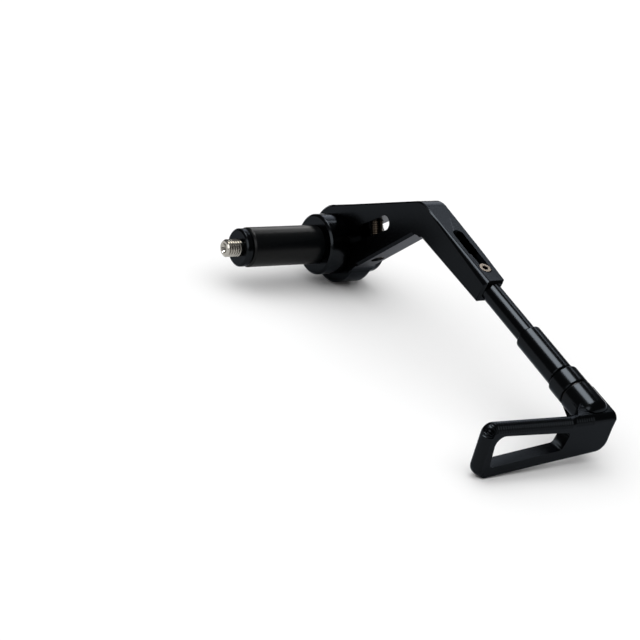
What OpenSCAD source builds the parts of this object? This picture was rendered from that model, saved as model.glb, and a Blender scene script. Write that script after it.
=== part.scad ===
// Brake lever guard for a motorcycle handlebar, right-hand side, in millimetres.
// X runs along the handlebar axis towards the plug's free end, Y forwards along the arm, Z up.
// The guard lies as it rests on a table: on the round hub and the paddle's bottom edge.
// The origin is on the handlebar axis at the inner collar's face, which the handlebar's end meets.
// Distances along X in the profiles below are measured from the hub's inner face.

/* [Handlebar plug] */
// radius of the plug that goes into the handlebar
plug_r = 9; // [6.5:0.1:12]
// length of the expanding plug sleeve
plug_len = 38.2; // [20:0.1:60]
// radius of the pull disc on the plug's free end
disc_r = 8.6; // [6:0.1:11.5]
// thickness of the pull disc's rim
disc_len = 3.4; // [2:0.1:8]
// open groove between the sleeve and the pull disc
groove_w = 0.6; // [0.2:0.1:2]
// nominal radius of the expander bolt
bolt_r = 4; // [3:0.5:5]
// length of bolt that stands out of the pull disc
bolt_out = 7.2; // [2:0.1:15]

/* [Collars] */
// radius of both collars
collar_r = 14; // [12:0.1:18]
// length of the inner collar, between the hub and the plug
collar_in = 11.2; // [5:0.1:20]
// length of the outer collar, past the hub's outer face
collar_out = 9; // [5:0.1:25]
// radius of the outer collar's open bore
collar_bore_r = 9.4; // [7:0.1:11]
// radius of the shaft that the hub clamps
shaft_r = 9.5; // [8:0.1:12]

/* [Arm] */
// angle that lifts the first arm portion so that hub and paddle rest on one level
rest_a = 22.2; // [0:0.1:40]
// thickness of the arm plate along X
arm_t = 12; // [8:0.1:16]
// radius of the round hub
hub_r = 18; // [15:0.1:24]
// forward distance of the bend from the handlebar axis
bend_y = 60; // [40:0.5:80]
// height of the rod axis at the bend
bend_z = 14.6; // [5:0.1:25]
// angle of the rod below the first arm portion
drop = 38; // [20:1:55]
// half the height of the second arm portion at the bend
arm_h = 6.8; // [5:0.1:9]
// half the height of the second arm portion at its end
arm_end_h = 5.5; // [5:0.1:8]
// length of the second arm portion, from the bend along the rod axis
arm_len = 54.5; // [40:0.5:80]
// how much the outer face comes in towards the arm's end
taper_out = 1.2; // [0:0.1:1.2]
// how much the inner face comes in towards the arm's end
taper_in = 0.5; // [0:0.1:0.6]
// chamfer around the arm's end
end_c = 1; // [0.3:0.1:1]
// outer radius of the bend
bend_r = 11; // [7:0.1:14]
// radius of the inner corner under the bend
inner_r = 5; // [2:0.5:8]
// radius of the hollow where the arm's lower edge runs into the hub
neck_r = 10; // [4:0.5:14]
// slope of the first portion's lower edge
low_a = 19.7; // [12:0.1:24]
// distance of the first portion's lower edge from the handlebar axis
low_d = 15.2; // [13:0.1:17]
// height of the arm's top edge at the bend
top_z = 19.4; // [16:0.1:24]
// chamfer along the plate's lower edges
edge_c = 1.2; // [0.2:0.1:2]
// chamfer along the plate's top edges, beside the screw holes
top_c = 0.7; // [0.2:0.1:0.8]
// width of the clamp slit between the two jaws
slit_w = 6.6; // [2:0.1:8]
// forward distance of the clamp slit's closed end
slit_y = 42; // [30:0.5:50]
// forward distance of the clamp bolt
clamp_y = 25.5; // [22:0.5:34]

/* [Rod slide] */
// radius of the sliding rod
rod_r = 4.35; // [3:0.05:6]
// radial clearance of the rod in its bore
rod_fit = 0.05; // [0.02:0.01:0.1]
// width of the long slot on top of the arm
slot_w = 5.4; // [3:0.1:7]
// length of the long slot
slot_len = 27.6; // [15:0.1:35]
// distance from the long slot's end to the arm's end
slot_end = 6.1; // [3:0.1:12]
// radius of the length screw
lock_r = 2.5; // [1.5:0.1:3]
// radius of the length screw's head
lock_head_r = 2.6; // [2:0.1:4]
// length of the lock screw
lock_len = 6.1; // [4:0.1:8]

/* [Sleeve and ring] */
// start of the sleeve along the rod axis
sleeve_s = 82.2; // [70:0.1:100]
// radius of the sleeve
sleeve_r = 5.75; // [4.5:0.05:8]
// length of the sleeve, up to the ring
sleeve_len = 25.2; // [15:0.1:35]
// radius of the ring and of the paddle's socket
ring_r = 6.85; // [5.5:0.05:9]
// length of the ring
ring_len = 9; // [5:0.1:15]
// width of the seal that shows between the ring and the socket
seal_w = 0.8; // [0.3:0.1:2]

/* [Bolts] */
// distance of the big bolt's seat from the hub's inner face
seat_x = 8; // [5:0.1:10]
// thickness of the washer under the big bolt's head
washer_t = 1.6; // [0.8:0.1:3]
// radius of the washer
washer_r = 7.6; // [6:0.1:7.8]
// radius of the big bolt's head
head_r = 6.5; // [5:0.1:7.5]
// height of the big bolt's head
head_h = 7.2; // [4:0.1:10]
// length of the cone that spreads the plug sleeve
cone_len = 8; // [4:0.5:12]
// height of the cone's wide end over the bolt hole
cone_h = 2.6; // [1.5:0.1:3.5]
// height of the clamp bolt's seat over the hub axis
clamp_seat = 12.6; // [11:0.1:14]
// radius of the clamp bolt's head
clamp_head_r = 4.95; // [4:0.05:5.5]
// height of the clamp bolt's head
clamp_head_h = 5.2; // [3:0.1:7]
// radius of the clamp bolt's shank
clamp_r = 2.95; // [2:0.05:3.5]
// depth of the clamp bolt's lower end under the hub axis
clamp_end = 6.4; // [4:0.1:12]

/* [Paddle] */
// angle that the paddle plate leans back from square to the rod
lean = 12; // [0:1:25]
// distance from the seal to the paddle plate's front face along the rod axis
socket_len = 18.3; // [15:0.1:25]
// thickness of the paddle plate
plate_t = 6; // [4:0.1:10]
// outer side of the paddle along X
pad_x0 = -13.3; // [-16:0.1:-8]
// tip of the paddle along X
pad_x1 = 53.8; // [30:0.5:80]
// height of the plate's top edge over the rod axis at the tip
pad_top1 = 5.6; // [2:0.1:12]
// depth of the plate's bottom edge under the rod axis at the corner
pad_bot0 = 13; // [8:0.1:20]
// depth of the plate's bottom edge under the rod axis at the tip
pad_bot1 = 17; // [8:0.1:22]
// radius of the plate's tip corners
tip_r = 4.5; // [2:0.1:8]
// radius of the plate's bottom corner under the rod
heel_r = 5.5; // [2:0.1:12]
// height of the corner block's flat top over the rod axis
block_top = 3.8; // [2:0.1:6]
// end of the flat top along X
flat_x = 9.6; // [8:0.1:20]
// radius of the hollow between the socket and the plate
web_r = 8; // [4:0.5:11]
// length of the rod bore in the paddle's socket
rod_grip = 11.6; // [6:0.1:12]
// radius of the socket's domed end
dome_r = 4.5; // [2:0.1:6]
// start of the window along X
win_x0 = 10.2; // [0:0.1:20]
// end of the window along X
win_x1 = 48.6; // [30:0.1:70]
// height of the window's top over the rod axis at the corner end
win_top0 = -1.2; // [-4:0.1:3]
// height of the window's top over the rod axis at the tip end
win_top1 = 1.1; // [-2:0.1:4]
// depth of the window's bottom under the rod axis at the corner end
win_bot0 = 9.3; // [5:0.1:14]
// depth of the window's bottom under the rod axis at the tip end
win_bot1 = 12.6; // [8:0.1:18]
// radius of the window's top corner at the tip end
win_r1 = 4.2; // [1:0.1:6]
// radius of the window's other corners
win_r0 = 2; // [1:0.1:3]

/* [Smoothness] */
// facets of round faces on screen
$fn = 96; // [32:8:160]

/* [Hidden] */
hub_in = -collar_in;
mid_x = hub_in - arm_t / 2;
plug_end = collar_in + plug_len;
disc_end = plug_end + groove_w + disc_len;
bolt_end = disc_end + bolt_out;
hole_r = bolt_r + 0.3;
hub_bore_r = shaft_r + 0.05;
rod_in = 34;
rod_bore_s = 9;
slot_b = arm_len - slot_end;
slot_a = slot_b - slot_len;
lock_s = slot_b - lock_r - 0.6;
gap = 0.01;
bend_s = (bend_z + (arm_h - bend_r) * cos(drop) - top_z + bend_r) / sin(drop);
bend_c = [bend_y + bend_s * cos(drop) + (arm_h - bend_r) * sin(drop), top_z - bend_r];
neck_t = sqrt(pow(hub_r + neck_r, 2) - pow(low_d + neck_r, 2));
low_t = (bend_y * sin(drop) + bend_z * cos(drop) - arm_h + low_d * cos(low_a + drop)) / sin(low_a + drop);
ring_s = sleeve_s + sleeve_len;
ring_e = ring_s + ring_len;
socket_s = ring_e + seal_w;
face_s = socket_s + socket_len;
dome_s = face_s - 5;
web_x = ring_r - arm_t / 2 + 0.05;
block_s = socket_s + 0.6;
block_d = socket_len + 6;
alu = [0.06, 0.06, 0.065];
steel = [0.72, 0.72, 0.7];
rubber = [0.03, 0.03, 0.03];

// a point of the arm's side view, s along the rod axis and n square to it
function on_rod(s, n) = [bend_y + s * cos(drop) + n * sin(drop), bend_z - s * sin(drop) + n * cos(drop)];

// turns children about the handlebar axis, from the arm's own level to the resting level
module lay() {
    rotate([rest_a, 0, 0]) children();
}

// extrudes a YZ drawing along X from x0 to x1
module side(x0, x1) {
    translate([hub_in + x0, 0, 0]) rotate([90, 0, 90]) linear_extrude(x1 - x0) children();
}

// a turned solid about the handlebar axis: profile points are [x, radius]
module turned(pts) {
    translate([hub_in, 0, 0]) rotate([90, 0, 90]) rotate_extrude() polygon([for (p = pts) [p[1], p[0]]]);
}

// places children at distance s from the bend: their Z is the rod axis and their Y points up, square to it
module along_rod(s) {
    translate([mid_x, bend_y, bend_z]) rotate([-90 - drop, 0, 0]) mirror([0, 1, 0])
        translate([0, 0, s]) children();
}

// a turned solid about the rod axis: profile points are [s, radius]
module rod_turned(pts) {
    along_rod(0) rotate_extrude() polygon([for (p = pts) [p[1], p[0]]]);
}

// a point of the first portion's lower edge, t along it from the foot of the hub axis, n out of it
function on_low(t, n) = [(low_d + n) * sin(low_a) + t * cos(low_a), t * sin(low_a) - (low_d + n) * cos(low_a)];

// the arm's side view past the hub: one closed outline with round corners
module arm_outline() {
    corner = on_low(low_t, 0);
    half = (180 - low_a - drop) / 2;
    inner_c = corner + inner_r / sin(half) * [cos(270 + (low_a - drop) / 2), sin(270 + (low_a - drop) / 2)];
    neck_c = on_low(neck_t, neck_r);
    polygon(concat([[0, 0], [-3, hub_r - 0.3]],
        [for (i = [0 : 8]) bend_c + bend_r * [cos(90 - i * drop / 8), sin(90 - i * drop / 8)]],
        [on_rod(arm_len - end_c, arm_end_h), on_rod(arm_len, arm_end_h - end_c),
         on_rod(arm_len, end_c - arm_end_h), on_rod(arm_len - end_c, -arm_end_h)],
        [for (i = [0 : 6]) inner_c + inner_r * [cos(90 - drop + i * (low_a + drop) / 6),
                                                sin(90 - drop + i * (low_a + drop) / 6)]],
        [for (i = [0 : 3]) neck_c + neck_r * [cos(90 + low_a + i * 8), sin(90 + low_a + i * 8)]]));
}

// turns children over about the arm's middle plane
module mirror_x() {
    translate([mid_x, 0, 0]) mirror([1, 0, 0]) translate([-mid_x, 0, 0]) children();
}

// takes a long wedge of depth d off one face of the second portion, and bevels its end edge
module face_taper(x, d) {
    run = arm_len - 14;
    translate([hub_in + x - mid_x, 0, 0]) along_rod(14) rotate([0, -atan(d / run), 0])
        translate([0, -20, 0]) cube([10, 40, run + 20]);
    translate([hub_in + x - mid_x - d, 0, 0]) along_rod(arm_len) rotate([0, 45, 0])
        cube([end_c * sqrt(2), 40, end_c * sqrt(2)], center = true);
}

// bevels one long edge of the plate, from a to b in the side view, on both faces
module edge_bevel(a, b, c) {
    d = b - a;
    side_a = atan2(d[1], d[0]);
    for (x = [0, -arm_t])
        translate([hub_in + x, a[0], a[1]]) rotate([side_a, 0, 0]) translate([0, norm(d) / 2, 0])
            rotate([0, 45, 0]) cube([c * sqrt(2), norm(d), c * sqrt(2)], center = true);
}

module arm() {
    color(alu) lay() difference() {
        union() {
            turned([[-arm_t, 0], [-arm_t, hub_r - top_c], [top_c - arm_t, hub_r], [-top_c, hub_r],
                [0, hub_r - top_c], [0, 0]]);
            side(-arm_t, 0) arm_outline();
        }
        edge_bevel([-1, hub_r - 0.24], bend_c + [0, bend_r], top_c);
        edge_bevel(on_rod(bend_s, arm_h), on_rod(arm_len + 2, arm_end_h), top_c);
        edge_bevel(on_low(neck_t, 0), on_low(low_t - 2, 0), edge_c);
        edge_bevel(on_rod(9, -arm_h), on_rod(arm_len + 2, -arm_end_h), edge_c);
        face_taper(0, taper_in);
        mirror_x() face_taper(0, taper_out);
        // hub bore, with a bevel at both mouths
        turned([[-arm_t - 1, 0], [-arm_t - 1, hub_bore_r], [1, hub_bore_r], [1, 0]]);
        // clamp slit from the hub bore to its round closed end
        side(-arm_t - 1, 1) {
            translate([slit_y - slit_w / 2, 9.8]) circle(slit_w / 2);
            polygon([[6, 1.4 - slit_w / 2], [slit_y - slit_w / 2 + 0.9, 9.8 - slit_w / 2 + 0.1],
                     [slit_y - slit_w / 2 - 0.9, 9.8 + slit_w / 2 - 0.1], [5, 1.2 + slit_w / 2]]);
        }
        // clamp bolt: counterbore from the top, clearance in the upper jaw, thread hole below
        translate([mid_x, clamp_y, clamp_seat]) cylinder(r = clamp_head_r + 0.15, h = 20);
        translate([mid_x, clamp_y, 2]) cylinder(r = clamp_r + 0.25, h = clamp_seat);
        translate([mid_x, clamp_y, -16]) cylinder(r = clamp_r + 0.05, h = 20);
        // rod bore, the long slot over it and the slot's light opening below
        along_rod(rod_bore_s) cylinder(r = rod_r + rod_fit, h = arm_len);
        for (s = [slot_a + slot_w / 2, slot_b - slot_w / 2])
            along_rod(s) rotate([-90, 0, 0]) cylinder(r = slot_w / 2, h = 12);
        along_rod((slot_a + slot_b) / 2) translate([0, 6, 0])
            cube([slot_w, 12, slot_b - slot_a - slot_w], center = true);
    }
}

module pinch_bolt() {
    color(steel) lay() difference() {
        union() {
            translate([mid_x, clamp_y, clamp_seat + gap]) cylinder(r = clamp_head_r, h = clamp_head_h);
            translate([mid_x, clamp_y, -clamp_end]) cylinder(r = clamp_r, h = clamp_end + clamp_seat + 0.5);
        }
        translate([mid_x, clamp_y, clamp_seat + 2.4])
            cylinder(r = clamp_head_r * 0.585, h = clamp_head_h, $fn = 6);
    }
}

module outer_collar() {
    x0 = -arm_t - collar_out;
    color(alu) lay() turned([[0, hole_r], [0, shaft_r - 0.4], [-0.4, shaft_r], [-arm_t, shaft_r],
        [-arm_t, collar_r - 0.5], [-arm_t - 0.5, collar_r], [x0 + 1, collar_r], [x0, collar_r - 1],
        [x0, collar_bore_r + 0.6], [x0 + 0.6, collar_bore_r], [-seat_x, collar_bore_r - 1.4],
        [-seat_x, hole_r]]);
}

module inner_collar() {
    color(alu) lay() turned([[0, hole_r], [0, collar_r - 0.5], [0.5, collar_r], [collar_in - 1, collar_r],
        [collar_in, collar_r - 1], [collar_in, hole_r]]);
}

module plug_sleeve() {
    color(rubber) lay() turned([[collar_in, hole_r], [collar_in, plug_r],
        [plug_end - 1, plug_r], [plug_end, plug_r - 1], [plug_end, hole_r + cone_h],
        [plug_end - cone_len, hole_r]]);
}

module pull_disc() {
    color(alu) lay() turned([[plug_end - cone_len + 0.6, hole_r - 0.2], [plug_end, hole_r + cone_h - 0.3],
        [plug_end + groove_w, hole_r + cone_h - 0.3], [plug_end + groove_w, disc_r - 0.4],
        [plug_end + groove_w + 0.4, disc_r], [disc_end - 0.8, disc_r], [disc_end, disc_r - 0.8],
        [disc_end, hole_r - 0.2]]);
}

module expander_bolt() {
    head = -seat_x - washer_t;
    color(steel) lay() difference() {
        turned([[head - head_h, 0], [head - head_h, head_r - 0.8], [head - head_h + 0.8, head_r],
            [head, head_r],
            [head, bolt_r - 0.1], [bolt_end - 1, bolt_r - 0.1], [bolt_end, bolt_r - 1.1],
            [bolt_end, 2.2], [bolt_end - 0.8, 0]]);
        translate([hub_in + head - head_h - 1, 0, 0]) rotate([90, 0, 90])
            cylinder(r = head_r * 0.532, h = 5.2, $fn = 6);
    }
}

module bolt_washer() {
    color(steel) lay() turned([[gap - seat_x - washer_t, hole_r], [gap - seat_x - washer_t, washer_r],
        [-seat_x - gap, washer_r], [-seat_x - gap, hole_r]]);
}

module rod() {
    color(alu) lay() difference() {
        rod_turned([[rod_in, 0], [rod_in, rod_r - 0.6], [rod_in + 0.6, rod_r],
            [socket_s + rod_grip - 0.4, rod_r], [socket_s + rod_grip - 0.4, 0]]);
        along_rod(lock_s) translate([0, -0.5, 0]) rotate([-90, 0, 0]) cylinder(r = lock_r + 0.02, h = 8);
    }
}

module lock_screw() {
    color(steel) lay() along_rod(lock_s) difference() {
        union() {
            translate([0, -0.4, 0]) rotate([-90, 0, 0]) cylinder(r = lock_r, h = lock_len);
            translate([0, lock_len - 1.6, 0]) rotate([-90, 0, 0]) cylinder(r = lock_head_r, h = 1.6);
        }
        translate([0, lock_len - 2.9, 0]) rotate([-90, 0, 0])
            cylinder(r = lock_head_r * 0.558, h = 4, $fn = 6);
    }
}

module sleeve() {
    color(alu) lay() rod_turned([[sleeve_s, rod_r + gap], [sleeve_s, sleeve_r - 0.8],
        [sleeve_s + 0.8, sleeve_r], [ring_s - 0.9, sleeve_r], [ring_s - gap, sleeve_r - 0.9],
        [ring_s - gap, rod_r + gap]]);
}

module ring() {
    color(alu) lay() rod_turned([[ring_s, rod_r + gap], [ring_s, ring_r - 0.9], [ring_s + 0.9, ring_r],
        [ring_e - 0.4, ring_r], [ring_e, ring_r - 0.4], [ring_e, rod_r + gap]]);
}

module seal() {
    color(rubber) lay() rod_turned([[ring_e + gap, rod_r + gap], [ring_e + gap, ring_r - 0.7],
        [ring_e + seal_w - gap, ring_r - 0.7], [ring_e + seal_w - gap, rod_r + gap]]);
}

// points of an arc about c, from angle a0 to a1
function arc(c, r, a0, a1) =
    [for (i = [0 : 8]) let (a = a0 + (a1 - a0) * i / 8) c + r * [cos(a), sin(a)]];

// the paddle's front view: X across, Y up, measured from the rod axis
function plate_outline() = concat(
    [[pad_x0, 2 * block_top], [flat_x - 6, 2 * block_top], [flat_x, block_top - 0.2]],
    arc([pad_x1 - tip_r, pad_top1 - tip_r], tip_r, 90, 0),
    arc([pad_x1 - tip_r, tip_r - pad_bot1], tip_r, 0, -94),
    arc([pad_x0 + heel_r, heel_r - pad_bot0], heel_r, -94, -180));

// the paddle seen from above: plate, corner block and the hollow between the plate and the socket
function paddle_plan() = concat([[pad_x0, 1], [pad_x1 + 1, 1], [pad_x1 + 1, -plate_t]],
    arc([web_x + web_r, -plate_t - web_r], web_r, 90, 180),
    [[web_x, -block_d], [pad_x0, -block_d]]);

// side view of what is cut off below the corner block, which rises towards the ring
function under_block() = [[1.5 - ring_r, block_s - 5], [1.5 - ring_r, block_s],
    [-pad_bot0, face_s - plate_t + 2.2], [-40, face_s - plate_t + 2.2], [-40, block_s - 5]];

// the window: a long opening that is taller at the tip end
module window_outline() {
    hull() {
        translate([win_x1 - win_r1, win_top1 - win_r1]) circle(win_r1, $fn = 32);
        translate([win_x1 - win_r0 - 0.6, win_r0 - win_bot1]) circle(win_r0, $fn = 32);
        translate([win_x0 + win_r0, win_top0 - win_r0]) circle(win_r0, $fn = 32);
        translate([win_x0 + win_r0 + 1.2, win_r0 - win_bot0]) circle(win_r0, $fn = 32);
    }
}

// places children on the plate's front face: X from the hub's inner face, Y up, Z out of the plate
module on_face() {
    along_rod(face_s) rotate([-lean, 0, 0]) translate([arm_t / 2, 0, 0]) children();
}

module paddle() {
    color(alu) lay() difference() {
        union() {
            // socket with a domed end
            rod_turned(concat([[socket_s, 0], [socket_s, ring_r - 0.4], [socket_s + 0.4, ring_r]],
                [for (a = [0 : 16 : 80]) [dome_s - dome_r * (1 - sin(a)), ring_r - dome_r * (1 - cos(a))]],
                [[dome_s, 0]]));
            difference() {
                intersection() {
                    on_face() translate([0, 0, -block_d]) linear_extrude(block_d)
                        polygon(plate_outline());
                    on_face() translate([0, 30, 0]) rotate([90, 0, 0]) linear_extrude(60)
                        polygon(paddle_plan());
                }
                // the flat top, level with the rod, the rear end and the rising bottom
                along_rod(block_s - 10) translate([arm_t / 2 + flat_x - 60, block_top, 0])
                    cube([60, 40, 60]);
                along_rod(block_s - 20) translate([-30, -30, 0]) cube([60, 60, 20]);
                along_rod(0) translate([-30, 0, 0]) rotate([90, 0, 90]) linear_extrude(60)
                    polygon(under_block());
            }
        }
        along_rod(socket_s - 1) cylinder(r = rod_r + gap, h = rod_grip + 1);
        on_face() translate([0, 0, -30]) linear_extrude(40) window_outline();
    }
}

arm();
pinch_bolt();
outer_collar();
inner_collar();
plug_sleeve();
pull_disc();
expander_bolt();
bolt_washer();
rod();
lock_screw();
sleeve();
ring();
seal();
paddle();
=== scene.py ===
# Brake lever guard: looks, floor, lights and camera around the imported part
import math

import bmesh
import bpy
from mathutils import Matrix, Vector


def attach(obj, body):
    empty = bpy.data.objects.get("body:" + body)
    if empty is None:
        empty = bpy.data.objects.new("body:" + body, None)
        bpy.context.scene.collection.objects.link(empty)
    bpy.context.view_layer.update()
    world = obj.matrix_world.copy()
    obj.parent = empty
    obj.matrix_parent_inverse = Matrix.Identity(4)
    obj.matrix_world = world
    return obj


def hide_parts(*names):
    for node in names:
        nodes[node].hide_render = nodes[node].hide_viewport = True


mm = 0.001

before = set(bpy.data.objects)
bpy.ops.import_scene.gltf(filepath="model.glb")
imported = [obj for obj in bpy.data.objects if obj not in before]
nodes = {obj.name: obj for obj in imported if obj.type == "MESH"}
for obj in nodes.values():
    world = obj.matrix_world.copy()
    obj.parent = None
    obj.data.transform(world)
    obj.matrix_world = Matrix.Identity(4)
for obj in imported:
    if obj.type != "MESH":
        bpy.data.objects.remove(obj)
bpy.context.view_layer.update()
print("stage: part loaded,", len(nodes), "nodes")


# colours and nodes
def toLinear(hexText):  # sRGB hex to linear RGBA
    out = []
    for i in (0, 2, 4):
        c = int(hexText[i:i + 2], 16) / 255
        out.append(c / 12.92 if c <= 0.04045 else ((c + 0.055) / 1.055) ** 2.4)
    return out + [1.0]


def addNode(tree, kind, links=None, **settings):  # one node, its settings and its input links
    node = tree.nodes.new(kind)
    for name, value in settings.items():
        if name.startswith("in_"):
            key = name[3:]
            node.inputs[int(key) if key.isdigit() else key.replace("_", " ")].default_value = value
        else:
            setattr(node, name, value)
    for key, source in (links or {}).items():
        tree.links.new(source, node.inputs[key])
    return node


def newMaterial(name, **shader):
    mat = bpy.data.materials.new(name)
    mat.use_nodes = True
    tree = mat.node_tree
    tree.nodes.clear()
    bsdf = addNode(tree, "ShaderNodeBsdfPrincipled")
    for key, value in shader.items():
        bsdf.inputs[key.replace("_", " ")].default_value = value
    out = addNode(tree, "ShaderNodeOutputMaterial")
    tree.links.new(bsdf.outputs[0], out.inputs[0])
    return mat, tree, bsdf


def surfaceGrain(tree, bsdf, sizeMm, depthMm, low, high):
    # fine noise that moves the roughness and lifts the surface a little
    coords = addNode(tree, "ShaderNodeTexCoord")
    noise = addNode(tree, "ShaderNodeTexNoise", {"Vector": coords.outputs["Object"]},
                    in_Scale=1 / (sizeMm * mm), in_Detail=3.0, in_Roughness=0.6)
    rough = addNode(tree, "ShaderNodeMapRange", {"Value": noise.outputs[0]}, in_3=low, in_4=high)
    bump = addNode(tree, "ShaderNodeBump", {"Height": noise.outputs[0]},
                   in_Strength=0.35, in_Distance=depthMm * mm)
    tree.links.new(rough.outputs[0], bsdf.inputs["Roughness"])
    tree.links.new(bump.outputs[0], bsdf.inputs["Normal"])


dyedEdge = "ccced2"  # the dye swallows part of the light at grazing angles too


# hard anodised aluminium, machined then dyed black: nearly black, with soft grey reflections
def blackAnodised():
    mat, tree, bsdf = newMaterial("blackAnodisedAluminium", Base_Color=toLinear("191b1d"),
                                  Metallic=1.0, Roughness=0.25, Specular_Tint=toLinear(dyedEdge))
    surfaceGrain(tree, bsdf, 0.3, 0.002, 0.21, 0.29)
    return mat


# the same dye on parts turned in a lathe: brighter strips of light along them
def blackTurned():
    mat, tree, bsdf = newMaterial("blackAnodisedTurned", Base_Color=toLinear("1c1e20"),
                                  Metallic=1.0, Roughness=0.2, Specular_Tint=toLinear(dyedEdge))
    surfaceGrain(tree, bsdf, 0.4, 0.002, 0.16, 0.23)
    return mat


# nitrile rubber sleeve, moulded smooth: black with a faint cool sheen
def blackRubber():
    mat, tree, bsdf = newMaterial("blackNitrileRubber", Base_Color=toLinear("040506"),
                                  Metallic=0.0, IOR=1.45, Specular_IOR_Level=0.16, Roughness=0.3)
    surfaceGrain(tree, bsdf, 0.8, 0.003, 0.26, 0.36)
    return mat


# zinc plated steel, rolled thread: bright grey, slightly soft reflections
def zincSteel():
    mat, tree, bsdf = newMaterial("zincPlatedSteel", Base_Color=toLinear("a5a29b"),
                                  Metallic=1.0, Roughness=0.22)
    surfaceGrain(tree, bsdf, 0.25, 0.003, 0.16, 0.28)
    return mat


# blackened steel, quenched in oil: dark brown grey, a bright glint on each thread crest
def oiledSteel():
    mat, tree, bsdf = newMaterial("oilBlackedSteel", Base_Color=toLinear("5c544b"),
                                  Metallic=1.0, Roughness=0.2)
    surfaceGrain(tree, bsdf, 0.25, 0.003, 0.15, 0.26)
    return mat


finishes = {"black": blackAnodised(), "turned": blackTurned(), "rubber": blackRubber(),
            "zinc": zincSteel(), "oiled": oiledSteel()}
nodeFinish = {
    "arm": "black", "paddle": "black", "outer_collar": "turned", "inner_collar": "turned",
    "pull_disc": "turned", "plug_sleeve": "rubber", "rod": "turned", "sleeve": "turned",
    "ring": "turned", "seal": "rubber", "pinch_bolt": "oiled", "expander_bolt": "zinc",
    "bolt_washer": "zinc", "lock_screw": "oiled",
}
nodeBody = {
    "arm": "clamp_arm", "pinch_bolt": "clamp_arm", "outer_collar": "bar_end", "inner_collar": "bar_end",
    "plug_sleeve": "bar_end", "pull_disc": "bar_end", "expander_bolt": "bar_end", "bolt_washer": "bar_end",
    "rod": "paddle_rod", "lock_screw": "paddle_rod", "sleeve": "paddle_rod", "ring": "paddle_rod",
    "seal": "paddle_rod", "paddle": "paddle_rod",
}
for name, finish in nodeFinish.items():
    mesh = nodes[name].data
    mesh.materials.clear()
    mesh.materials.append(finishes[finish])
print("stage: finishes set")

# the part's own directions at rest, from the same sizes as its source, in millimetres and degrees
part = {"restTurn": 22.2, "rodDrop": 38.0, "plateLean": 12.0, "bendY": 60.0, "bendZ": 14.6,
        "midX": -17.2, "hubFace": -11.2, "pinchY": 25.5, "faceAlongRod": 135.5, "plateThick": 6.0}


def turned(point, degrees):  # a point turned about the handlebar axis
    return Matrix.Rotation(math.radians(degrees), 3, "X") @ Vector(point)


xAxis = Vector((1, 0, 0))
rodAxis = turned((0, 1, 0), part["restTurn"] - part["rodDrop"])
rodUp = turned((0, 0, 1), part["restTurn"] - part["rodDrop"])
plateOut = turned((0, 1, 0), part["restTurn"] - part["rodDrop"] + part["plateLean"])
plateUp = turned((0, 0, 1), part["restTurn"] - part["rodDrop"] + part["plateLean"])
clampUp = turned((0, 0, 1), part["restTurn"])
bendPoint = turned((part["midX"], part["bendY"], part["bendZ"]), part["restTurn"])
faceZero = bendPoint + rodAxis * part["faceAlongRod"] + xAxis * (part["hubFace"] - part["midX"])


def onRod(x, along, up):  # a point by its x and its place along and above the rod's axis
    return (bendPoint + xAxis * (x - part["midX"]) + rodAxis * along + rodUp * up) * mm


def onFace(x, up):  # a point of the paddle's front face, x from the hub's inner face
    return (faceZero + xAxis * x + plateUp * up) * mm


def faceCoords(co):  # the reverse, with the distance out of the face
    away = co / mm - faceZero
    return away.x, away.dot(plateUp), away.dot(plateOut)


# shared by all the pieces
crispTurn = 30  # degrees between faces that still shade as one
roundFrom = 35  # degrees between faces whose edge gets a round
mergeWithin = 0.002  # mm, for the doubled corners of the loaded triangles
flatWithin = 0.6  # degrees between triangles of one flat
planeSlack = 0.0001  # mm, for vertices that lie on a cutting plane


def newPiece(name, bm, finish, body):
    mesh = bpy.data.meshes.new(name)
    bm.to_mesh(mesh)
    bm.free()
    piece = bpy.data.objects.new(name, mesh)
    bpy.context.collection.objects.link(piece)
    mesh.materials.append(finishes[finish])
    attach(piece, body)
    return piece


def smoothBySharp(piece, degrees=crispTurn):  # smooth faces that stay crisp where they turn more
    piece.data.polygons.foreach_set("use_smooth", [True] * len(piece.data.polygons))
    piece.data.set_sharp_from_angle(angle=math.radians(degrees))


def mergedCopy(nodeName):
    bm = bmesh.new()
    bm.from_mesh(nodes[nodeName].data)
    bmesh.ops.remove_doubles(bm, verts=bm.verts, dist=mergeWithin * mm)
    return bm


def makeFlatsWhole(bm):
    bmesh.ops.dissolve_limit(bm, angle_limit=math.radians(flatWithin), verts=bm.verts, edges=bm.edges)


def cleanCopy(nodeName):  # the node's triangles merged, with flat faces made whole
    bm = mergedCopy(nodeName)
    makeFlatsWhole(bm)
    return bm


def sharpEdges(bm, degrees=roundFrom):
    limit = math.radians(degrees)
    return [e for e in bm.edges if len(e.link_faces) == 2 and e.calc_face_angle(0) > limit]


def roundEdges(bm, edges, radiusMm, segments, clamp=True):
    bmesh.ops.bevel(bm, geom=edges, offset=radiusMm * mm, offset_type="OFFSET", segments=segments,
                    profile=0.5, affect="EDGES", clamp_overlap=clamp, material=-1)


def cutPlane(bm, place, outward):  # takes away what lies outward of a plane and gives the new edges
    cut = bmesh.ops.bisect_plane(bm, geom=bm.verts[:] + bm.edges[:] + bm.faces[:], dist=planeSlack * mm,
                                 plane_co=place, plane_no=outward, clear_outer=True)
    return [e for e in cut["geom_cut"] if isinstance(e, bmesh.types.BMEdge)]


def cutFlat(bm, place, outward):  # the same, closed with a flat
    bmesh.ops.holes_fill(bm, edges=cutPlane(bm, place, outward), sides=0)


def weighFlats(piece):  # keeps the flats even beside their rounded edges
    weigh = piece.modifiers.new("evenFlats", "WEIGHTED_NORMAL")
    weigh.mode = "FACE_AREA"
    weigh.keep_sharp = True


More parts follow.
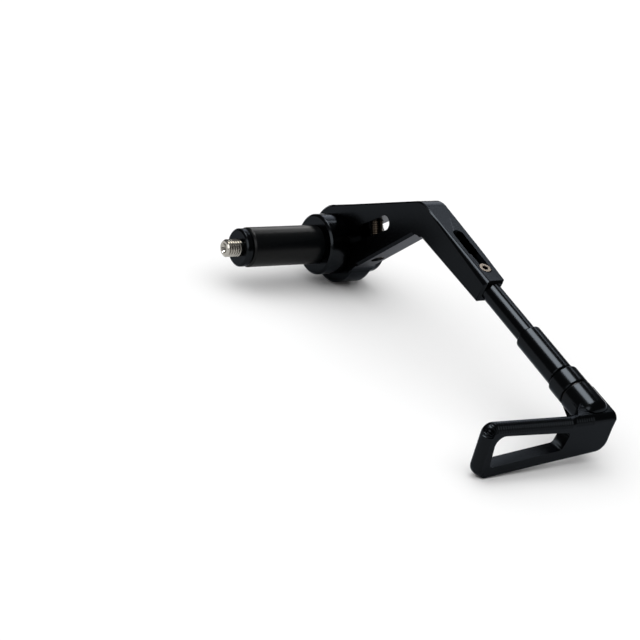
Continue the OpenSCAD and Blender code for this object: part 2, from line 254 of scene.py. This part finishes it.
def machinedCopy(nodeName, bm):
    piece = newPiece(nodeName + "Machined", bm, nodeFinish[nodeName], nodeBody[nodeName])
    smoothBySharp(piece)
    weighFlats(piece)
    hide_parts(nodeName)


# machined pieces, and how far their edges are broken, in millimetres
edgeBreak = {"arm": 0.35, "outer_collar": 0.2, "inner_collar": 0.2, "pull_disc": 0.15, "rod": 0.12,
             "sleeve": 0.2, "ring": 0.2, "bolt_washer": 0.15, "lock_screw": 0.12, "plug_sleeve": 0.25}
screwSunk = 0.4  # how far the lock screw's head sits down in the arm's slot
# the arm's inner top edge has a round that grows towards the rod
# a row gives the place along the rod, x, height and radius
softEdge = {"start": (5.0, -11.2, 6.8, 0.55), "end": (53.5, -11.7, 5.5, 3.0),
            "facets": (15, 30, 45, 60, 75)}
# the chamfer of the arm's top edges, carried round the outside of its bend
bendRim = {"centre": (61.11, 8.4), "radius": 11.0, "chamfer": 0.7, "sides": ((-11.2, 1), (-23.2, -1)),
           "facetTurn": 4.75, "facetCount": 8}


def cutSoftEdge(bm):
    for degrees in softEdge["facets"]:
        across, upward = math.cos(math.radians(degrees)), math.sin(math.radians(degrees))
        near, far = (onRod(x - r + r * across, along, up - r + r * upward)
                     for along, x, up, r in (softEdge["start"], softEdge["end"]))
        outward = (far - near).cross(rodUp * across - xAxis * upward).normalized()
        outward *= 1 if outward.x > 0 else -1
        cutFlat(bm, near, outward)


def cutBendRim(bm):
    centre = turned((0, *bendRim["centre"]), part["restTurn"])
    for sideX, side in bendRim["sides"]:
        for i in range(bendRim["facetCount"]):
            radial = turned((0, 0, 1), part["restTurn"] - bendRim["facetTurn"] * (i + 0.5))
            touch = centre + radial * bendRim["radius"]
            place = touch + xAxis * (sideX - side * bendRim["chamfer"])
            cutFlat(bm, place * mm, (radial + xAxis * side).normalized())


for nodeName, radiusMm in edgeBreak.items():
    bm = cleanCopy(nodeName)
    if nodeName == "arm":
        cutBendRim(bm)
        cutSoftEdge(bm)
    if nodeName == "lock_screw":
        bmesh.ops.translate(bm, verts=bm.verts, vec=-rodUp * screwSunk * mm)
    roundEdges(bm, sharpEdges(bm), radiusMm, 2)
    machinedCopy(nodeName, bm)
print("stage: machined pieces made")

# rolled threads: a zigzag spun up a helix, cut square at both ends
# the end gets a chamfer and, where a dimple is given, a hollow of that radius and depth
threads = {
    "expander_bolt": {"origin": (0, 0, 0), "axis": xAxis, "across": Vector((0, 0, 1)),
                      "fromTo": (39.0, 49.4), "crest": 3.98, "root": 3.2, "pitch": 1.25, "chamfer": 0.6,
                      "dimple": (2.5, 1.3), "cutAt": 40.0, "keepBelow": True},
    "pinch_bolt": {"origin": turned((part["midX"], part["pinchY"], 0), part["restTurn"]),
                   "axis": clampUp, "across": xAxis, "fromTo": (-6.2, 12.4), "crest": 2.95, "root": 2.42,
                   "pitch": 1.0, "chamfer": 0.4, "dimple": None, "cutAt": 12.0, "keepBelow": False},
}
threadSteps = 28  # steps a turn
threadWithin = 0.01  # mm, joins the turns and finds the cut's edges
threadCrisp = 35  # degrees, keeps the crests crisp
threadForm = ((1.5, "root"), (1.1, "crest"), (0.9, "crest"), (0.5, "root"))  # pitches before the start
dimpleFloor = 0.6  # of the dimple's radius


def pushCap(bm, cap, origin, axis, byMm, factor):  # extrudes a cap along an axis and scales it about it
    cap[:] = bmesh.ops.extrude_discrete_faces(bm, faces=cap)["faces"]
    for v in {v for face in cap for v in face.verts}:
        away = v.co / mm - origin
        along = axis * away.dot(axis)
        v.co = (origin + along + axis * byMm + (away - along) * factor) * mm


def threadMesh(size):
    origin, axis, across = Vector(size["origin"]), size["axis"], size["across"]
    (start, end), pitch = size["fromTo"], size["pitch"]
    turns = int((end - start) / pitch) + 3
    bm = bmesh.new()
    zigzag = [(start - before * pitch, size[radius]) for before, radius in threadForm]
    verts = [bm.verts.new((origin + axis * a + across * r) * mm) for a, r in zigzag]
    edges = [bm.edges.new(pair) for pair in zip(verts, verts[1:])]
    bmesh.ops.spin(bm, geom=verts + edges, cent=origin * mm, axis=axis,
                   dvec=axis * pitch * mm / threadSteps, angle=2 * math.pi * turns,
                   steps=threadSteps * turns, use_duplicate=False)
    bmesh.ops.remove_doubles(bm, verts=bm.verts, dist=threadWithin * mm)
    endRadius = size["crest"] - size["chamfer"]
    for at, side in ((start, -1), (end - size["chamfer"], 1)):
        cutPlane(bm, (origin + axis * at) * mm, axis * side)
        rim = [e for e in bm.edges if e.is_boundary and
               all(abs((v.co / mm - origin).dot(axis) - at) < threadWithin for v in e.verts)]
        cap = bmesh.ops.edgeloop_fill(bm, edges=rim)["faces"]
        if side > 0:
            pushCap(bm, cap, origin, axis, size["chamfer"], endRadius / size["crest"])
            if size["dimple"]:
                radius, depth = size["dimple"]
                pushCap(bm, cap, origin, axis, 0, radius / endRadius)
                pushCap(bm, cap, origin, axis, -depth, dimpleFloor)
    bmesh.ops.recalc_face_normals(bm, faces=bm.faces)
    return bm


for nodeName, size in threads.items():
    shank = cleanCopy(nodeName)
    at = (Vector(size["origin"]) + size["axis"] * size["cutAt"]) * mm
    cutFlat(shank, at, size["axis"] * (1 if size["keepBelow"] else -1))
    machinedCopy(nodeName, shank)
    thread = newPiece(nodeName + "Thread", threadMesh(size), nodeFinish[nodeName], nodeBody[nodeName])
    smoothBySharp(thread, threadCrisp)
print("stage: threads made")

# paddle: fully rounded top and tip, a smaller round at the bottom and the heel, crisp window
paddle = {"rimRound": 2.6, "lowerRound": 1.5, "edgeRound": 0.45, "edgeFrom": 40,
          "rimAbove": 2.4, "tipX": 49.0, "bottomBelow": -12.8, "heelX": -7.6, "heelBelow": 3.2}
# what moves to free the socket: the hollow's web, the wall, the corner and the dome
block = {"top": 3.8, "halfWidth": 8.0, "plateRear": 129.5,
         "web": {"x": 8.9, "out": -14.0, "radius": 8.0, "newRadius": 3.2, "underFrom": -1.0,
                 "underSlope": 0.55},
         "wall": {"x": 6.9, "below": -3.0, "behind": -9.0, "tuck": 2.5, "top": (6.85, 7.3), "drop": 3.4},
         "corner": {"x": -7.2, "along": 121.0, "above": -3.0, "in": 0.35},
         "dome": {"from": 126.0, "to": 131.0, "stretch": 1.35}}
atSurface = 0.05  # mm, how close a vertex lies to the surface it is looked up by


def rimKind(edge):
    ends = [faceCoords(v.co) for v in edge.verts]
    onPlane = all(abs(out) < atSurface or abs(out + part["plateThick"]) < atSurface for x, up, out in ends)
    if not onPlane or abs(ends[0][2] - ends[1][2]) > 2 * atSurface:
        return "other"
    if all(up > paddle["rimAbove"] or x > paddle["tipX"] for x, up, out in ends):
        return "rim"
    if all(up < paddle["bottomBelow"] for x, up, out in ends):
        return "lower"
    if all(x < paddle["heelX"] and up < paddle["heelBelow"] and out > -atSurface for x, up, out in ends):
        return "lower"
    return "other"


def freeSocket(bm):  # lets the socket stand clear of the block's inner side, with a longer dome
    web, wall, corner, dome = (block[key] for key in ("web", "wall", "corner", "dome"))
    for v in bm.verts:
        away = v.co / mm - bendPoint
        x, along, up = away.x, away.dot(rodAxis), away.dot(rodUp)
        faceX, faceUp, out = faceCoords(v.co)
        fromX, fromOut = faceX - web["x"], out - web["out"]
        offWeb = abs(math.hypot(fromX, fromOut) - web["radius"])
        onWeb = fromX < 0.01 and fromOut > -0.01 and offWeb < 0.06
        if abs(x - wall["x"]) < 3 * atSurface and up < wall["below"] and out < wall["behind"]:
            v.co -= xAxis * wall["tuck"] * mm
        if onWeb:
            # the hollow's radius shrinks about the corner it fills
            shrink = 1 - web["newRadius"] / web["radius"]
            moveX, moveOut = -(fromX + web["radius"]) * shrink, (web["radius"] - fromOut) * shrink
            v.co += (xAxis * moveX + plateOut * moveOut) * mm
            if faceUp < web["underFrom"]:
                v.co -= plateUp * moveOut * web["underSlope"] * mm
        elif x < corner["x"] and along < corner["along"] and up > corner["above"]:
            v.co += xAxis * corner["in"] * mm
        elif (up > block["top"] - atSurface and abs(x) < block["halfWidth"]
              and dome["from"] < along < dome["to"]):
            v.co += rodAxis * (along - dome["from"]) * (dome["stretch"] - 1) * mm
        if (abs(up - block["top"]) < atSurface and wall["top"][0] < x < wall["top"][1]
                and along < block["plateRear"] - 2 * atSurface):
            v.co -= rodUp * wall["drop"] * mm


def roundedPaddle():
    bm = mergedCopy("paddle")
    freeSocket(bm)
    makeFlatsWhole(bm)
    for kind, radius, segments in (("rim", paddle["rimRound"], 6), ("lower", paddle["lowerRound"], 4)):
        edges = [e for e in sharpEdges(bm) if rimKind(e) == kind]
        roundEdges(bm, edges, radius, segments, clamp=False)
    roundEdges(bm, sharpEdges(bm, paddle["edgeFrom"]), paddle["edgeRound"], 2)
    machinedCopy("paddle", bm)


roundedPaddle()

# grip ribs over the paddle's rounded front edge, from near the corner to the tip
ribs = {"pitch": 1.25, "height": 0.34, "halfWidth": 0.32, "sunk": 0.1, "reach": 100, "steps": 7,
        "runs": (((-1.0, 3.885), (8.6, 3.885)), ((9.9, 3.6), (49.3, 5.6))),
        "tipCentre": (49.3, 1.1), "tipRound": 4.5, "tipTurn": 105}


def ribStations():  # places along the rim and their outward directions, both in the face's plane
    stations, carry = [], 0.0
    for first, last in ribs["runs"]:
        run = Vector(last) - Vector(first)
        along = run.normalized()
        at = carry
        while at < run.length:
            stations.append((Vector(first) + along * at, Vector((-along.y, along.x))))
            at += ribs["pitch"]
        carry = at - run.length
    turnStep = math.degrees(ribs["pitch"] / ribs["tipRound"])
    turn = 90 - math.degrees(carry / ribs["tipRound"])
    while turn > 90 - ribs["tipTurn"]:
        out = Vector((math.cos(math.radians(turn)), math.sin(math.radians(turn))))
        stations.append((Vector(ribs["tipCentre"]) + out * ribs["tipRound"], out))
        turn -= turnStep
    return stations


def gripRibs():
    bm = bmesh.new()
    rimRound = paddle["rimRound"]
    half = ribs["halfWidth"]
    ribForm = ((-half, -ribs["sunk"]), (0, ribs["height"]), (half, -ribs["sunk"]))
    for place, out in ribStations():
        outward = xAxis * out.x + plateUp * out.y
        tangent = outward.cross(plateOut)
        centre = onFace(place.x, place.y) - (outward + plateOut) * rimRound * mm
        start = Matrix.Rotation(math.radians(-(ribs["reach"] - 90) / 2), 3, tangent) @ outward
        verts = [bm.verts.new(centre + (tangent * side + start * (rimRound + lift)) * mm)
                 for side, lift in ribForm]
        edges = [bm.edges.new((verts[i], verts[i - 1])) for i in range(3)]
        bmesh.ops.spin(bm, geom=verts + edges, cent=centre, axis=tangent,
                       angle=math.radians(ribs["reach"]), steps=ribs["steps"], use_duplicate=False)
    bmesh.ops.holes_fill(bm, edges=bm.edges, sides=0)
    bmesh.ops.recalc_face_normals(bm, faces=bm.faces)
    smoothBySharp(newPiece("paddleGripRibs", bm, "black", "paddle_rod"))


gripRibs()

# the socket as a full turned barrel over the block, with a rounded end
barrel = {"from": 117.3, "domeFrom": 128.0, "to": 132.0, "radius": 6.97, "lip": 0.25, "steps": 96}


def socketBarrel():
    bm = bmesh.new()
    radius, lip = barrel["radius"], barrel["lip"]
    profile = [(barrel["from"], radius - lip), (barrel["from"] + lip, radius)]
    reach = barrel["to"] - barrel["domeFrom"]
    for degrees in range(0, 91, 10):
        a = math.radians(degrees)
        profile.append((barrel["domeFrom"] + reach * math.sin(a), radius - reach * (1 - math.cos(a))))
    verts = [bm.verts.new((bendPoint + rodAxis * s + rodUp * r) * mm) for s, r in profile]
    edges = [bm.edges.new(pair) for pair in zip(verts, verts[1:])]
    bmesh.ops.spin(bm, geom=verts + edges, cent=bendPoint * mm, axis=rodAxis, angle=2 * math.pi,
                   steps=barrel["steps"], use_merge=True)
    bmesh.ops.holes_fill(bm, edges=bm.edges, sides=0)
    bmesh.ops.recalc_face_normals(bm, faces=bm.faces)
    smoothBySharp(newPiece("socketBarrel", bm, "turned", "paddle_rod"))


socketBarrel()
print("stage: paddle made")

# floor, lights and camera
studio = {"floorZ": -18.2, "floorSize": 12.0, "reflectedRoom": 0.15}  # z in mm, size in metres


def buildFloor():
    bm = bmesh.new()
    bmesh.ops.create_grid(bm, x_segments=1, y_segments=1, size=studio["floorSize"] / 2)
    bmesh.ops.translate(bm, verts=bm.verts, vec=(0, 0, studio["floorZ"] * mm))
    mesh = bpy.data.meshes.new("studioFloor")
    bm.to_mesh(mesh)
    bm.free()
    floor = bpy.data.objects.new("studioFloor", mesh)
    bpy.context.collection.objects.link(floor)
    mesh.materials.append(newMaterial("paleFloorPaper", Base_Color=toLinear("f4f4f4"), Roughness=0.9)[0])


buildFloor()


# far round softboxes: towards, degrees across, strength, and what they show in: diffuse, gloss
softboxes = {
    "wideTop": ((0.1, -0.1, 1.0), 120, 3.1, True, False),
    "overheadStrip": ((0.13, -0.284, 0.95), 34, 4.2, False, True),
    "sideBox": ((0.8, 0.35, 0.45), 40, 1.1, False, True),
    "backStrip": ((-0.66, -0.63, 0.41), 28, 0.45, False, True),
    "edgeStrip": ((-0.62, -0.36, 0.7), 8, 0.12, False, True),
}
for name, (towards, across, strength, inDiffuse, inGloss) in softboxes.items():
    data = bpy.data.lights.new(name, "SUN")
    data.angle = math.radians(across)
    data.energy = strength
    lamp = bpy.data.objects.new(name, data)
    bpy.context.collection.objects.link(lamp)
    lamp.rotation_euler = Vector(towards).to_track_quat("Z", "Y").to_euler()
    lamp.visible_diffuse = inDiffuse
    lamp.visible_glossy = inGloss

world = bpy.data.worlds.new("dimRoom")
bpy.context.scene.world = world
world.use_nodes = True
room = world.node_tree
room.nodes["Background"].inputs["Color"].default_value = (1, 1, 1, 1)
# dim in the reflections, and white behind the floor's far edge
rays = addNode(room, "ShaderNodeLightPath")
glow = addNode(room, "ShaderNodeMath", {0: rays.outputs["Is Camera Ray"]},
               operation="MULTIPLY_ADD", in_1=1 - studio["reflectedRoom"], in_2=studio["reflectedRoom"])
room.links.new(glow.outputs[0], room.nodes["Background"].inputs["Strength"])

# the camera that was fitted to the photo's outlines
shot = {"azimuth": 140.962, "elevation": 22.211, "roll": 12.712, "placeMm": (457.17, 580.29, 265.48),
        "lensPx": 1700.5, "imagePx": 640, "sensorMm": 36, "nearest": 0.01}


def placeCamera():
    a, e, r = (math.radians(shot[k]) for k in ("azimuth", "elevation", "roll"))
    back = Vector((math.sin(a) * math.cos(e), -math.cos(a) * math.cos(e), math.sin(e)))
    right = Vector((math.cos(a), math.sin(a), 0))
    up = back.cross(right)
    right, up = math.cos(r) * right + math.sin(r) * up, -math.sin(r) * right + math.cos(r) * up
    data = bpy.data.cameras.new("photoCamera")
    data.sensor_width = shot["sensorMm"]
    data.lens = shot["lensPx"] * shot["sensorMm"] / shot["imagePx"]
    data.clip_start = shot["nearest"]
    cam = bpy.data.objects.new("photoCamera", data)
    bpy.context.collection.objects.link(cam)
    turn = Matrix((right, up, back)).transposed().to_4x4()
    cam.matrix_world = Matrix.Translation(Vector(shot["placeMm"]) * mm) @ turn
    bpy.context.scene.camera = cam


placeCamera()
bpy.context.scene.view_settings.view_transform = "Standard"
print("stage: floor, lights and camera ready")
